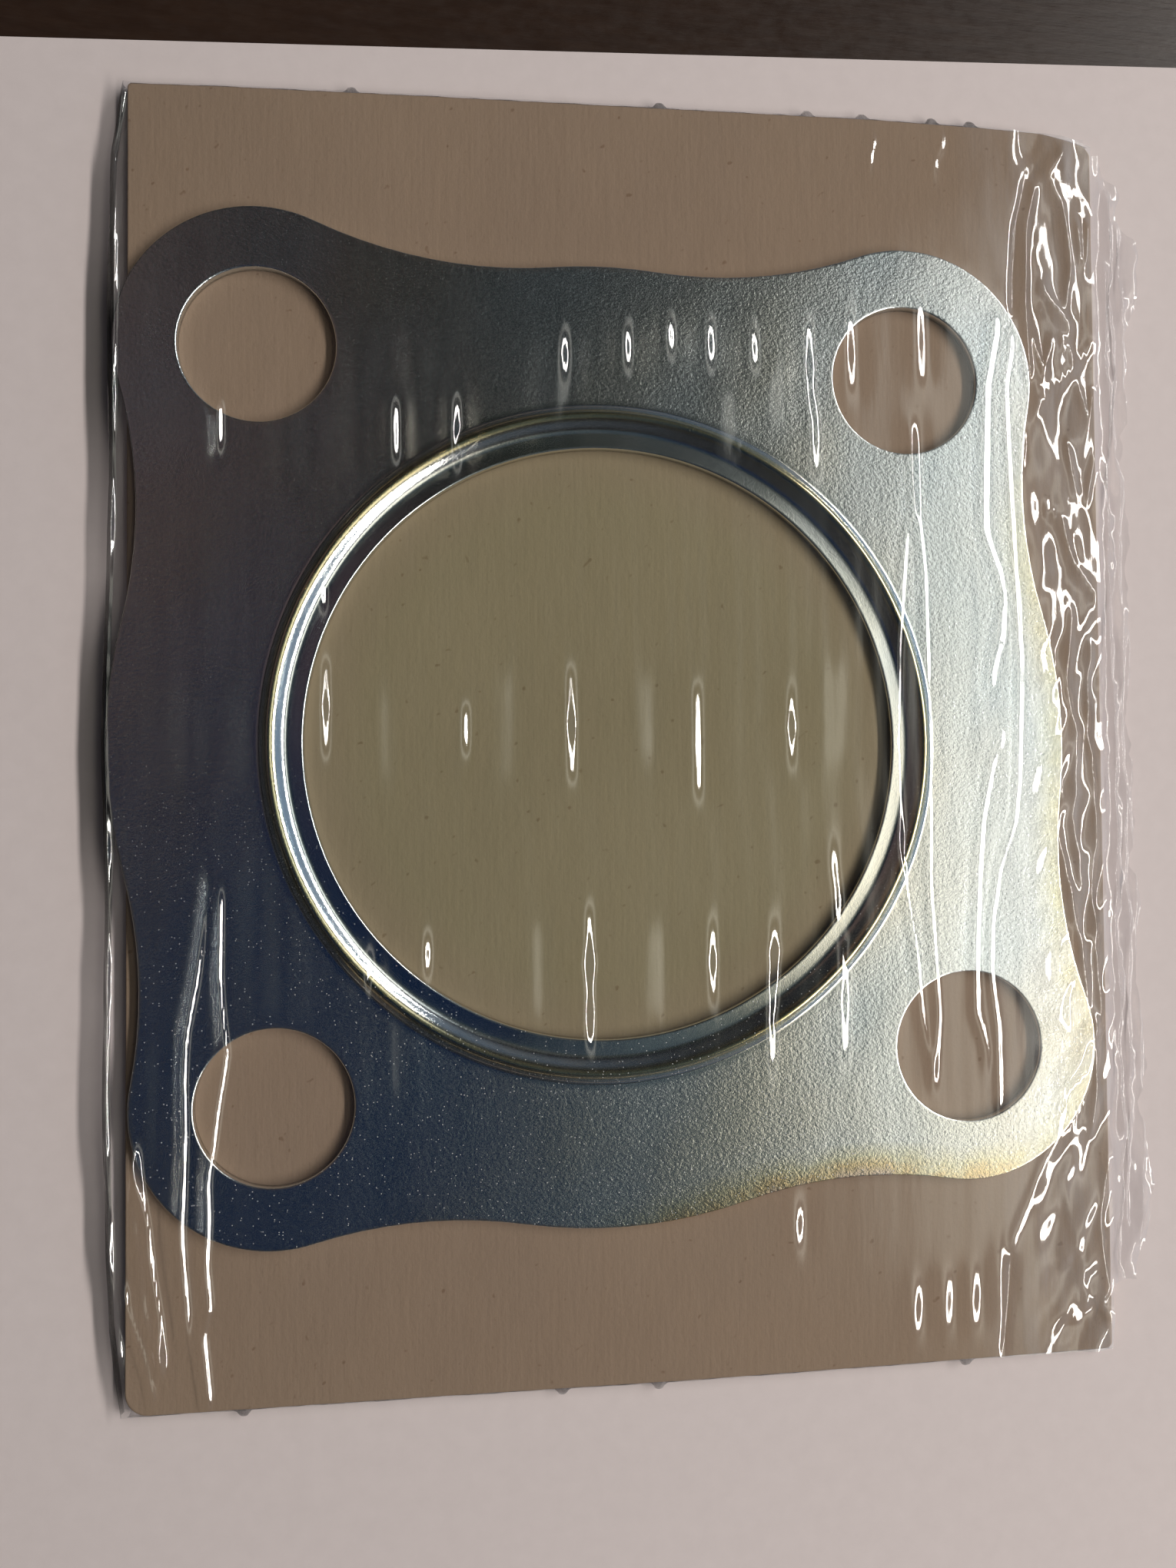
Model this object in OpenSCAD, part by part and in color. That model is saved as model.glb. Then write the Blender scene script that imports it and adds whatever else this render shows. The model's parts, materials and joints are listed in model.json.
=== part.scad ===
// Four-bolt stamped flange gasket on its backing card, shrink-wrapped in clear film.
// The origin is the centre line of the gasket's main bore, on the plane that the pack lies on.
// +X runs to the welded side seal, +Y to the top of the card, +Z out of the pack's face.

/* [Gasket sheet] */
// Thickness of the gasket's steel sheet
sheet_t = 1.2; // [0.8:0.1:2]
// Diameter of the main bore
bore_d = 70; // [60:0.5:74]
// Diameter of each bolt hole
hole_d = 18; // [14:0.5:20]
// Centre of the upper left bolt hole
hole_upper_left = [-40.2, 46.2]; // [-60:0.1:60]
// Centre of the upper right bolt hole
hole_upper_right = [37.4, 44.4]; // [-60:0.1:60]
// Centre of the lower right bolt hole
hole_lower_right = [44.3, -37]; // [-60:0.1:60]
// Centre of the lower left bolt hole
hole_lower_left = [-38.3, -41.7]; // [-60:0.1:60]
// Radius of the gasket's body round the main bore
body_r = 57; // [54:0.5:60]
// Radius of the lobe round each bolt hole
lobe_r = 16.2; // [14:0.1:18]
// Radius of the hollow between the body and a lobe
hollow_r = 55; // [40:1:80]

/* [Embossed bead] */
// Width of the flat lip between the main bore and the bead
lip_w = 1.7; // [1:0.1:3]
// Width of the bead's inner flank, from the lip up to the crest
flank_in_w = 2.2; // [1.5:0.1:3]
// Width of the bead's outer flank, from the crest down to the sheet
flank_out_w = 1.4; // [1:0.1:3]
// Height of the bead's crest over the sheet
bead_h = 1; // [0.3:0.1:1.2]

/* [Backing card] */
// Width of the card
card_w = 117.7; // [110:0.1:130]
// Height of the card
card_h = 153.2; // [140:0.1:170]
// Thickness of the chipboard
card_t = 1.5; // [0.8:0.1:3]
// Centre of the card, seen from the main bore
card_centre = [3.8, 0.75]; // [-10:0.05:10]
// Corner radii of the card: upper left, upper right, lower right, lower left
card_corner_r = [0.4, 1.2, 0.8, 2.6]; // [0.3:0.1:5]

/* [Film] */
// Thickness that stands for the film and its welds
film_t = 0.1; // [0.1:0.05:0.3]
// Room between the film and what it wraps
film_gap = 0.1; // [0.05:0.05:0.5]
// How far the film stands over the bead's crest, with its pleats
film_rise = 0.5; // [0.2:0.1:1.5]
// Room between the gasket's left edge and the folded edge of the film
fold_gap = 0.5; // [0.3:0.1:2]
// Width of the film's slope, from the card's edge down to the side seal
side_slope_w = 3.6; // [2:0.1:6]
// Width of the flat welded flange of the side seal, at its widest
flange_w = 3.8; // [2:0.1:6]
// How far the side seal stops short of the card's top and bottom
seal_inset = [3, 9]; // [0:0.5:12]
// Thickness of the trimmed weld along the top and the bottom
trim_w = 0.5; // [0.3:0.1:1]
// Radius of the small vent bumps on the trimmed welds
vent_r = 0.9; // [0.5:0.1:1.5]
// Pitch of the vent bumps
vent_pitch = 36; // [20:1:50]
// Where the middle vent bump sits: on the top weld, on the bottom weld
vent_middle = [7.5, -5.5]; // [-15:0.5:15]

/* [Hidden] */
$fn = 128;
arc_step = 5;      // degrees between the points of an arc in an outline
bead_steps = 8;    // points along each flank of the bead
eps = 0.01;
loose_gap = 0.05;  // the loose gasket clears the card by this much

holes = [hole_upper_left, hole_lower_left, hole_lower_right, hole_upper_right];
bead_in_r = bore_d / 2 + lip_w;
crest_r = bead_in_r + flank_in_w;
bead_out_r = crest_r + flank_out_w;
bead_root_w = 1;   // overlap of the formed ring and the flat sheet

card_z = film_t;
sheet_z = card_z + card_t + loose_gap;
crest_z = sheet_z + sheet_t + bead_h;
film_z = crest_z + film_rise;
card_top_z = card_z + card_t + film_gap;

card_left = card_centre[0] - card_w / 2;
card_right = card_centre[0] + card_w / 2;
card_bottom = card_centre[1] - card_h / 2;
card_top = card_centre[1] + card_h / 2;
fold_x = -body_r - fold_gap;
film_clear = 0.05; // the lifting film clears the rest of the wrap by this much
shoulder_top = hole_upper_left[1] + lobe_r + 1;
shoulder_bottom = hole_lower_left[1] - lobe_r - 1;

// Points of an arc, centre c, from angle a0 through the turn
function arc(c, r, a0, turn) =
    let (n = max(2, ceil(abs(turn) / arc_step)))
    [for (i = [0:n]) c + r * [cos(a0 + turn * i / n), sin(a0 + turn * i / n)]];
function angle_of(v) = atan2(v[1], v[0]);
// An angle brought into -180 to 180
function wrapped(a) = a > 180 ? a - 360 : a < -180 ? a + 360 : a;
// The point at distance ra from the origin and rb from c; side is +1 or -1
function meet(c, ra, rb, side) =
    let (d = norm(c), a = (ra * ra - rb * rb + d * d) / (2 * d), h = sqrt(ra * ra - a * a), u = c / d)
    a * u + side * h * [-u[1], u[0]];
// One lobe with the hollow on each side of it, counter-clockwise
function lobe_points(c, grow) =
    let (rb = body_r + grow, rl = lobe_r + grow, rh = hollow_r - grow,
         before = meet(c, rb + rh, rl + rh, -1), after = meet(c, rb + rh, rl + rh, 1),
         b0 = angle_of(-before), b1 = angle_of(c - before),
         a0 = angle_of(c - after), a1 = angle_of(-after),
         l0 = angle_of(before - c), l1 = angle_of(after - c), lobe_turn = (l1 - l0 + 720) % 360)
    concat(arc(before, rh, b0, wrapped(b1 - b0)), arc(c, rl, l0, lobe_turn),
           arc(after, rh, a0, wrapped(a1 - a0)));
// The arc of the body from one lobe to the next
function body_points(c, next_c, grow) =
    let (rb = body_r + grow, rl = lobe_r + grow, rh = hollow_r - grow,
         a0 = angle_of(meet(c, rb + rh, rl + rh, 1)), a1 = angle_of(meet(next_c, rb + rh, rl + rh, -1)))
    arc([0, 0], rb, a0, (a1 - a0 + 720) % 360);
// The gasket's outline, grown outwards by grow
function gasket_outline(grow) =
    [for (i = [0:3]) each concat(lobe_points(holes[i], grow), body_points(holes[i], holes[(i + 1) % 4], grow))];

// Height of the bead's centre over the flat sheet at radius r
function bead_height(r) =
    r <= bead_in_r || r >= bead_out_r ? 0
    : r < crest_r ? bead_h * pow(sin(90 * (r - bead_in_r) / flank_in_w), 2)
    : bead_h * pow(cos(90 * (r - crest_r) / flank_out_w), 2);
bead_radii = concat([bore_d / 2],
    [for (i = [0:bead_steps]) bead_in_r + flank_in_w * i / bead_steps],
    [for (i = [1:bead_steps]) crest_r + flank_out_w * i / bead_steps],
    [bead_out_r + bead_root_w]);

// The stamped steel gasket: flat lobed sheet, bolt holes, main bore and formed bead
module gasket_plate() {
    color([0.62, 0.67, 0.68])
    translate([0, 0, sheet_z])
    union() {
        difference() {
            linear_extrude(sheet_t) polygon(gasket_outline(0));
            translate([0, 0, -1]) cylinder(r = bead_out_r, h = sheet_t + 2);
            for (p = holes) translate([p[0], p[1], -1]) cylinder(d = hole_d, h = sheet_t + 2);
        }
        rotate_extrude() formed_ring_section();
    }
}

// Section of the formed ring: the same curve above and below, one sheet thickness apart
module formed_ring_section() {
    n = len(bead_radii) - 1;
    polygon(concat([for (i = [0:n]) [bead_radii[i], bead_height(bead_radii[i])]],
                   [for (i = [n:-1:0]) [bead_radii[i], bead_height(bead_radii[i]) + sheet_t]]));
}

// The chipboard card that the gasket lies on
module backing_card() {
    r = card_corner_r;
    color([0.51, 0.45, 0.37])
    translate([0, 0, card_z])
    linear_extrude(card_t)
    polygon(concat(arc([card_left + r[0], card_top - r[0]], r[0], 90, 90),
                   arc([card_left + r[3], card_bottom + r[3]], r[3], 180, 90),
                   arc([card_right - r[2], card_bottom + r[2]], r[2], 270, 90),
                   arc([card_right - r[1], card_top - r[1]], r[1], 0, 90)));
}

// A run of film, given its section from side to side, pulled along X or Y
module film_along_x(x0, x1, section) {
    color([0.85, 0.88, 0.9, 0.35])
    translate([x0, 0, 0]) rotate([90, 0, 90]) linear_extrude(x1 - x0) polygon(section);
}
module film_along_y(y0, y1, section) {
    color([0.85, 0.88, 0.9, 0.35])
    translate([0, y1, 0]) rotate([90, 0, 0]) linear_extrude(y1 - y0) polygon(section);
}

// The front web: level over the gasket, sloping to the card at the top and the bottom
module film_front() {
    low = card_top_z + film_clear;
    film_along_x(fold_x + film_t + film_clear, card_right - film_clear,
        [[card_bottom, low], [shoulder_bottom, film_z - film_t], [shoulder_top, film_z - film_t],
         [card_top, low], [card_top, low + film_t], [shoulder_top, film_z], [shoulder_bottom, film_z],
         [card_bottom, low + film_t]]);
}

// The film's folded edge, which turns down past the gasket's left lobes to the back of the card
module left_fold() {
    film_along_y(shoulder_bottom, shoulder_top,
        [[fold_x, card_z + film_clear], [fold_x + film_t, card_z + film_clear],
         [fold_x + film_t, film_z], [fold_x, film_z]]);
}

// The back web, which the pack lies on
module film_back() {
    film_along_x(fold_x, card_right, [[card_bottom, 0], [card_top, 0], [card_top, film_t], [card_bottom, film_t]]);
}

// The welded side: the two webs come together past the card's right edge in a crumpled flange
module side_seal() {
    foot_x = card_right + side_slope_w;
    film_along_y(card_bottom + seal_inset[1], card_top - seal_inset[0],
        [[card_right, 0], [foot_x + flange_w, 0], [foot_x + flange_w, 2 * film_t], [foot_x, 2 * film_t],
         [card_right, film_z - film_t]]);
}

// A trimmed weld along an edge of the card, with its small vent bumps
module trim_seal(edge_y, outwards, middle_x) {
    far_y = edge_y + outwards * trim_w;
    color([0.85, 0.88, 0.9, 0.35])
    linear_extrude(card_top_z) {
        translate([card_left, min(edge_y, far_y)]) square([card_w, trim_w]);
        for (i = [-1:1]) translate([middle_x + i * vent_pitch, far_y]) intersection() {
            circle(r = vent_r, $fn = 24);
            translate([-vent_r, outwards > 0 ? -trim_w / 2 : -vent_r]) square([2 * vent_r, vent_r + trim_w / 2]);
        }
    }
}
module top_seal() {
    trim_seal(card_top, 1, vent_middle[0]);
}
module bottom_seal() {
    trim_seal(card_bottom, -1, vent_middle[1]);
}

gasket_plate();
backing_card();
film_front();
left_fold();
film_back();
side_seal();
top_seal();
bottom_seal();
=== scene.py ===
# Looks of the shrink-wrapped flange gasket: stamped steel, chipboard, clear film, light and camera.
import json
import math

import bpy
import numpy as np
from mathutils import Matrix, Vector
from mathutils.geometry import delaunay_2d_cdt


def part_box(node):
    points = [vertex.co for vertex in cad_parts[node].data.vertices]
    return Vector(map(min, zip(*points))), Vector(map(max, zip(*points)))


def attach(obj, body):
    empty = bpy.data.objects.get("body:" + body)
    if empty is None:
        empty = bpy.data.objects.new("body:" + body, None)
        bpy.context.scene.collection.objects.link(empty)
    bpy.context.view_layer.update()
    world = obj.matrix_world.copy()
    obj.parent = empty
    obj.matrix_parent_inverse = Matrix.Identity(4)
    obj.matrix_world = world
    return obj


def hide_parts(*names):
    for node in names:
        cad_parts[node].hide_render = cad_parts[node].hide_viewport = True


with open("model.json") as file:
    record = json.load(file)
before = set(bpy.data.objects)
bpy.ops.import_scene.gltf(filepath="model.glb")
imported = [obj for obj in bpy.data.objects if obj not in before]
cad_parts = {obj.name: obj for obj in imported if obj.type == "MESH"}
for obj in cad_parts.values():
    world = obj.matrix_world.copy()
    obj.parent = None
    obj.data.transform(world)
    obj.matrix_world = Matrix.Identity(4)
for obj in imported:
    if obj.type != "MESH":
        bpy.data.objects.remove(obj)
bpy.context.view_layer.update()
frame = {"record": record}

# Sizes below are in millimetres, and meshes are made in metres.
MM = 0.001

# Camera: where it stands, the point on the card that it looks at, and its roll
CAMERA_AT = (-17.1, -8.5, 140.7)
CAMERA_LOOKS_AT = (-1.95, -4.9, 1.6)
CAMERA_ROLL_DEG = -0.46
CAMERA_LENS = 27
CAMERA_SENSOR = 36

# Gasket outline, as in the CAD
BODY_R = 57
LOBE_R = 16.2
HOLLOW_R = 55
HOLE_R = 9
BORE_R = 35
ARC_STEP_DEG = 3

# Sheet and bead section, as in the CAD
SHEET_T = 1.2
LIP_W = 1.7
FLANK_IN_W = 2.2
FLANK_OUT_W = 1.4
RING_ROOT_W = 1
BEAD_IN_R = BORE_R + LIP_W
CREST_R = BEAD_IN_R + FLANK_IN_W
BEAD_OUT_R = CREST_R + FLANK_OUT_W
BEAD_STEPS = 12
# Width of the last flat facet of the lip, just before the bead
BEAD_START_W = 0.25
# Points round a bolt hole, and round the bore and its bead
HOLE_STEPS = 96
TURN_STEPS = 256

# Edges of the stamping: die roll on the face, a small break on the back, and a narrow flat past them
ROLL_R = 0.22
BREAK_R = 0.06
ROLL_STEPS = 5
FLAT_MARGIN = 0.15
# How far the bore's edge stands up, so that the lip falls a little towards the bead
LIP_RISE = 0.06

# Tarnish along the outline: its vertex value, its rings' insets, where it grows towards the lower
# right, and between which X it loses a share
EDGE_TARNISH = "edge_tarnish"
TARNISH_INSETS = (1.3, 2.6, 4.2)
TARNISH_GROWS = (26, 46)
TARNISH_FADES = (44, 54)
TARNISH_FADE = 0.6

# The two key lamps, in one line to the right of the pack and at one height
KEY_X = 900
LAMP_Z = 830
LAMP_W = 150
# Their names, y, lengths, radiances and colours
LAMPS = [
    ("key_lamp_near", -410, 1070, 28.5, (1.0, 0.96, 0.90)),
    ("key_lamp_far", 550, 800, 23, (1.0, 0.97, 0.93)),
]


def node_box(name):
    """A CAD node's lowest and highest corner, in millimetres."""
    low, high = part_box(name)
    return [v / MM for v in low], [v / MM for v in high]


def mount_xy(name):
    """A mount's centre in the plan, in millimetres."""
    for mount in frame["record"]["mounts"]:
        if mount["name"] == name:
            return (mount["pos_m"][0] / MM, mount["pos_m"][1] / MM)
    raise KeyError(name)


HOLES = [mount_xy("bolt_hole_" + place)
         for place in ("upper_left", "lower_left", "lower_right", "upper_right")]
SHEET_Z = node_box("gasket_plate")[0][2]
CREST_Z = node_box("gasket_plate")[1][2]
FACE_Z = SHEET_Z + SHEET_T
BEAD_H = CREST_Z - FACE_Z
CARD_LOW, CARD_HIGH = node_box("backing_card")
FILM_HIGH = node_box("film_front")[1]
FOLD_LOW = node_box("left_fold")[0]
BACK_LOW, BACK_HIGH = node_box("film_back")
SEAL_LOW, SEAL_HIGH = node_box("side_seal")


# Mesh helpers

def link_object(name, data):
    """A new object in the scene."""
    thing = bpy.data.objects.new(name, data)
    bpy.context.scene.collection.objects.link(thing)
    return thing


def add_object(name, verts_mm, faces, material, body, nodes):
    """A mesh piece in metres, riding on its body and standing for its CAD nodes."""
    mesh = bpy.data.meshes.new(name)
    mesh.from_pydata([(x * MM, y * MM, z * MM) for x, y, z in verts_mm], [], faces)
    mesh.validate()
    mesh.materials.append(material)
    mesh.shade_smooth()
    piece = link_object(name, mesh)
    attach(piece, body)
    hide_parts(*nodes)
    return piece


def strip_faces(count, rows, closed, first=0):
    """Quads between successive rows of count points each, numbered from first."""
    faces = []
    across = count if closed else count - 1
    for row in range(rows - 1):
        for i in range(across):
            j = (i + 1) % count
            a = first + row * count
            b = a + count
            faces.append((a + i, a + j, b + j, b + i))
    return faces


def inside(points, outline):
    """Which of the points lie inside a closed outline."""
    x, y = points[:, 0], points[:, 1]
    result = np.zeros(len(points), bool)
    for (x0, y0), (x1, y1) in zip(outline, np.roll(outline, -1, axis=0)):
        if y0 == y1:
            continue
        crosses = (y0 > y) != (y1 > y)
        result ^= crosses & (x < (x1 - x0) * (y - y0) / (y1 - y0) + x0)
    return result


def fill_between(outer, holes):
    """Triangles between an outer ring and the rings in it; each ring is (points, first index)."""
    points, numbers, edges = [], [], []
    for ring, first in [outer] + holes:
        start = len(points)
        count = len(ring)
        points += [Vector(p[:2]) for p in ring]
        numbers += range(first, first + count)
        edges += [(start + i, start + (i + 1) % count) for i in range(count)]
    _, _, triangles, origin, _, _ = delaunay_2d_cdt(points, edges, [], 0, 1e-6)
    source = [o[0] for o in origin]
    flat = np.array([tuple(p) for p in points])
    corners = np.array([[source[v] for v in t] for t in triangles])
    middles = flat[corners].mean(axis=1)
    keep = inside(middles, np.array([p[:2] for p in outer[0]]))
    for ring, _ in holes:
        keep &= ~inside(middles, np.array([p[:2] for p in ring]))
    return [tuple(numbers[v] for v in t) for t in corners[keep]]


def smoothstep(low, high, value):
    """0 at low, 1 at high, and smooth between them."""
    t = np.clip((value - low) / (high - low), 0, 1)
    return t * t * (3 - 2 * t)


# Gasket outline: four lobes, the hollows beside them and the body's arcs between them

def arc(centre, radius, start, turn):
    """Points of an arc, ends included; angles in degrees."""
    count = max(2, math.ceil(abs(turn) / ARC_STEP_DEG))
    angles = [math.radians(start + turn * i / count) for i in range(count + 1)]
    return [(centre[0] + radius * math.cos(a), centre[1] + radius * math.sin(a)) for a in angles]


def bearing(start, end):
    """The direction from one point to another, in degrees."""
    return math.degrees(math.atan2(end[1] - start[1], end[0] - start[0]))


def half_turn(angle):
    """An angle brought into -180 to 180 degrees."""
    return (angle + 180) % 360 - 180


def meet(centre, from_origin, from_centre, side):
    """The point at one distance from the origin and another from centre."""
    reach = math.hypot(*centre)
    along = (from_origin ** 2 - from_centre ** 2 + reach ** 2) / (2 * reach)
    off = side * math.sqrt(from_origin ** 2 - along ** 2)
    ux, uy = centre[0] / reach, centre[1] / reach
    return (along * ux - off * uy, along * uy + off * ux)


def lobe(centre, grow):
    """One lobe with the hollow on each side of it."""
    body, tip, hollow = BODY_R + grow, LOBE_R + grow, HOLLOW_R - grow
    before = meet(centre, body + hollow, tip + hollow, -1)
    after = meet(centre, body + hollow, tip + hollow, 1)
    origin = (0, 0)
    into = bearing(before, origin)
    out = bearing(after, centre)
    top = bearing(centre, before)
    return (arc(before, hollow, into, half_turn(bearing(before, centre) - into))[:-1]
            + arc(centre, tip, top, (bearing(centre, after) - top) % 360)[:-1]
            + arc(after, hollow, out, half_turn(bearing(after, origin) - out)))


def body_arc(centre, next_centre, grow):
    """The arc of the body from one lobe to the next."""
    body, tip, hollow = BODY_R + grow, LOBE_R + grow, HOLLOW_R - grow
    start = bearing((0, 0), meet(centre, body + hollow, tip + hollow, 1))
    end = bearing((0, 0), meet(next_centre, body + hollow, tip + hollow, -1))
    return arc((0, 0), body, start, (end - start) % 360)


def gasket_outline(grow):
    """The gasket's outline, grown outwards; every growth has the same number of points."""
    points = []
    for centre, next_centre in zip(HOLES, HOLES[1:] + HOLES[:1]):
        points += lobe(centre, grow)[:-1] + body_arc(centre, next_centre, grow)[:-1]
    return points


def bead_height(radius):
    """Height of the bead over the flat sheet."""
    r = np.asarray(radius, float)
    up = np.sin(np.clip((r - BEAD_IN_R) / FLANK_IN_W, 0, 1) * math.pi / 2) ** 2
    up = up + LIP_RISE / BEAD_H * np.clip((BEAD_IN_R - r) / LIP_W, 0, 1)
    down = np.cos(np.clip((r - CREST_R) / FLANK_OUT_W, 0, 1) * math.pi / 2) ** 2
    return BEAD_H * np.where(r < CREST_R, up, down)


def edge_section():
    """A cut edge from back to face: how far it stands in from the cut, and its height."""
    section = [(FLAT_MARGIN + BREAK_R, SHEET_Z), (BREAK_R, SHEET_Z), (0, SHEET_Z + BREAK_R)]
    for i in range(ROLL_STEPS + 1):
        a = math.pi / 2 * i / ROLL_STEPS
        section.append((ROLL_R * (1 - math.cos(a)), FACE_Z - ROLL_R * (1 - math.sin(a))))
    return section + [(ROLL_R + FLAT_MARGIN, FACE_Z)]


def outline_section():
    """The outline's cut edge, with more rings on the face to carry the tarnish."""
    return edge_section() + [(inset, FACE_Z) for inset in TARNISH_INSETS]


def circle(centre, radius, count):
    """Points of a full circle."""
    turn = 2 * math.pi / count
    return [(centre[0] + radius * math.cos(turn * i), centre[1] + radius * math.sin(turn * i))
            for i in range(count)]


def add_tarnish(piece, verts, outline_count):
    """A gold tarnish along the outline, strongest at the lower right, as a value on each vertex."""
    section = outline_section()
    ring = outline_count // len(section)
    inset = np.zeros(len(verts)) + TARNISH_INSETS[-1]
    inset[:outline_count] = np.repeat([i for i, _ in section], ring)
    place = smoothstep(*TARNISH_GROWS, verts[:, 0] - 0.55 * verts[:, 1])
    fade = 1 - TARNISH_FADE * smoothstep(*TARNISH_FADES, verts[:, 0])
    value = place * smoothstep(TARNISH_INSETS[-1], 0, inset) * fade
    layer = piece.data.attributes.new(EDGE_TARNISH, "FLOAT", "POINT")
    layer.data.foreach_set("value", value.astype(np.float32))


def formed_ring_section():
    """Radius and height of the formed ring, from its root on the back, round the bore, to the face."""
    radii = [BORE_R + ROLL_R + FLAT_MARGIN, BEAD_IN_R - BEAD_START_W]
    radii += [BEAD_IN_R + FLANK_IN_W * i / BEAD_STEPS for i in range(BEAD_STEPS + 1)]
    radii += [CREST_R + FLANK_OUT_W * i / BEAD_STEPS for i in range(1, BEAD_STEPS + 1)]
    radii += [BEAD_OUT_R + FLAT_MARGIN, BEAD_OUT_R + RING_ROOT_W]
    back = [(r, SHEET_Z + float(bead_height(r))) for r in radii[::-1]]
    cut = [(BORE_R + inset, z + LIP_RISE) for inset, z in edge_section()[:-1]]
    face = [(r, FACE_Z + float(bead_height(r))) for r in radii]
    return back + cut + face


def make_gasket(material):
    """The stamped gasket: lobed flat sheet, bolt holes, main bore and the formed bead."""
    verts, faces, back_rings, face_rings = [], [], [], []

    def add_rings(section, plan, flipped):
        """Adds a surface that follows a section of (place, z), from the back to the face."""
        rings = [[(x, y, z) for x, y in plan(place)] for place, z in section]
        first = len(verts)
        for ring in rings:
            verts.extend(ring)
        new = strip_faces(len(rings[0]), len(rings), True, first)
        faces.extend([f[::-1] for f in new] if flipped else new)
        back_rings.append((rings[0], first))
        face_rings.append((rings[-1], first + len(rings[0]) * (len(rings) - 1)))

    add_rings(outline_section(), lambda inset: gasket_outline(-inset), False)
    for centre in HOLES:
        add_rings(edge_section(), lambda inset: circle(centre, HOLE_R + inset, HOLE_STEPS), True)
    add_rings(formed_ring_section(), lambda r: circle((0, 0), r, TURN_STEPS), True)

    faces.extend(fill_between(face_rings[0], face_rings[1:]))
    faces.extend(t[::-1] for t in fill_between(back_rings[0], back_rings[1:]))
    piece = add_object("stamped_gasket", verts, faces, material, "gasket", ["gasket_plate"])
    add_tarnish(piece, np.array(verts), len(gasket_outline(0)) * len(outline_section()))


# Backing card

CARD_CORNER_R = (0.4, 2.6, 0.8, 1.2)
CARD_EDGE_ROLL = 0.18
CARD_STEP = 1.0
CARD_EDGE_ROUGH = 0.035
# How far the seen edges stand off the cut rectangle, as the card bows a little: x, then offset
TOP_BOW = ((-55, -0.6), (-45, -0.35), (-20, -0.1), (10, 0.05), (35, 0.15), (48, -0.1), (56, -0.4),
           (60, -1.2), (62.5, -2.0))
BOTTOM_BOW = ((-55, -0.2), (-20, 0), (10, 0.1), (35, 0.45), (62, 0.95))


def bow(table, x):
    """The offset of a bowed edge at x."""
    return np.interp(x, [p[0] for p in table], [p[1] for p in table])


def card_outline():
    """The card's outline, counter-clockwise from its upper left, in short steps."""
    left, bottom, _ = CARD_LOW
    right, top, _ = CARD_HIGH
    r = CARD_CORNER_R
    corners = (arc((left + r[0], top - r[0]), r[0], 90, 90)
               + arc((left + r[1], bottom + r[1]), r[1], 180, 90)
               + arc((right - r[2], bottom + r[2]), r[2], 270, 90)
               + arc((right - r[3], top - r[3]), r[3], 0, 90))
    points = []
    for (x0, y0), (x1, y1) in zip(corners, corners[1:] + corners[:1]):
        count = max(1, round(math.hypot(x1 - x0, y1 - y0) / CARD_STEP))
        points += [(x0 + (x1 - x0) * i / count, y0 + (y1 - y0) * i / count) for i in range(count)]
    return points


def make_card(material):
    """The chipboard card: slightly bowed, with cut edges a little rough and rolled."""
    random = np.random.default_rng(3)
    outline = np.array(card_outline())
    up = smoothstep(CARD_HIGH[1] - 20, CARD_HIGH[1], outline[:, 1])
    down = smoothstep(CARD_LOW[1] + 20, CARD_LOW[1], outline[:, 1])
    outline[:, 1] += up * bow(TOP_BOW, outline[:, 0]) + down * bow(BOTTOM_BOW, outline[:, 0])
    middle = outline.mean(axis=0)
    inward = middle - outline
    inward /= np.linalg.norm(inward, axis=1)[:, None]
    low, high = CARD_LOW[2], CARD_HIGH[2]
    section = [(CARD_EDGE_ROLL, low), (0, low + CARD_EDGE_ROLL), (0.02, (low + high) / 2 - 0.3),
               (0, (low + high) / 2 + 0.2), (0.01, high - CARD_EDGE_ROLL),
               (0.35 * CARD_EDGE_ROLL, high - 0.35 * CARD_EDGE_ROLL), (CARD_EDGE_ROLL, high),
               (CARD_EDGE_ROLL + 0.2, high)]
    verts = []
    for inset, z in section:
        rough = random.uniform(0, CARD_EDGE_ROUGH, len(outline))[:, None]
        ring = outline + inward * (inset + (rough if inset < CARD_EDGE_ROLL else 0))
        verts += [(x, y, z) for x, y in ring]
    count = len(outline)
    faces = strip_faces(count, len(section), True)
    faces.append(tuple(range(count))[::-1])
    faces.append(tuple(range(count * (len(section) - 1), count * len(section))))
    add_object("chipboard_card", verts, faces, material, "card_and_back", ["backing_card"])


# Film. The front web is a height field stretched over the gasket and the card.

# Room between the film and what it wraps
FILM_CLEAR = 0.06
# The web's grid, whose columns stand closer together on the loose film past LOOSE_X
WEB_COLUMNS = 520
WEB_ROWS = 191
LOOSE_X = 44
LOOSE_COLUMNS = 110
# The coarse grid on which the film is relaxed, and how often
RELAX_STEP = 1.0
RELAX_TURNS = 700
# Heights of the web's edges: at the top and the bottom, at the left fold, and at the card's right edge
WEB_EDGE_Z = CARD_HIGH[2] + 0.14
LEFT_Z = 2.3
LEFT_RISE = 0.55
LEFT_FALL = 0.5
RIGHT_Z = 2.0
# Where the gasket holds up the left fold, and how far along it
LEFT_HOLDS = ((HOLES[0][1], 11), (0, 13), (HOLES[1][1], 11))


def under_film(x, y):
    """Height of what lies under the film, at each point of a grid."""
    points = np.column_stack([x.ravel(), y.ravel()])
    on_card = points[:, 0] > CARD_LOW[0]
    height = np.where(on_card, CARD_HIGH[2], CARD_LOW[2])
    r = np.hypot(points[:, 0], points[:, 1])
    on_steel = inside(points, np.array(gasket_outline(0))) & (r > BORE_R)
    for hx, hy in HOLES:
        on_steel &= np.hypot(points[:, 0] - hx, points[:, 1] - hy) > HOLE_R
    height = np.where(on_steel, FACE_Z + bead_height(r), height)
    return height.reshape(x.shape)


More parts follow.
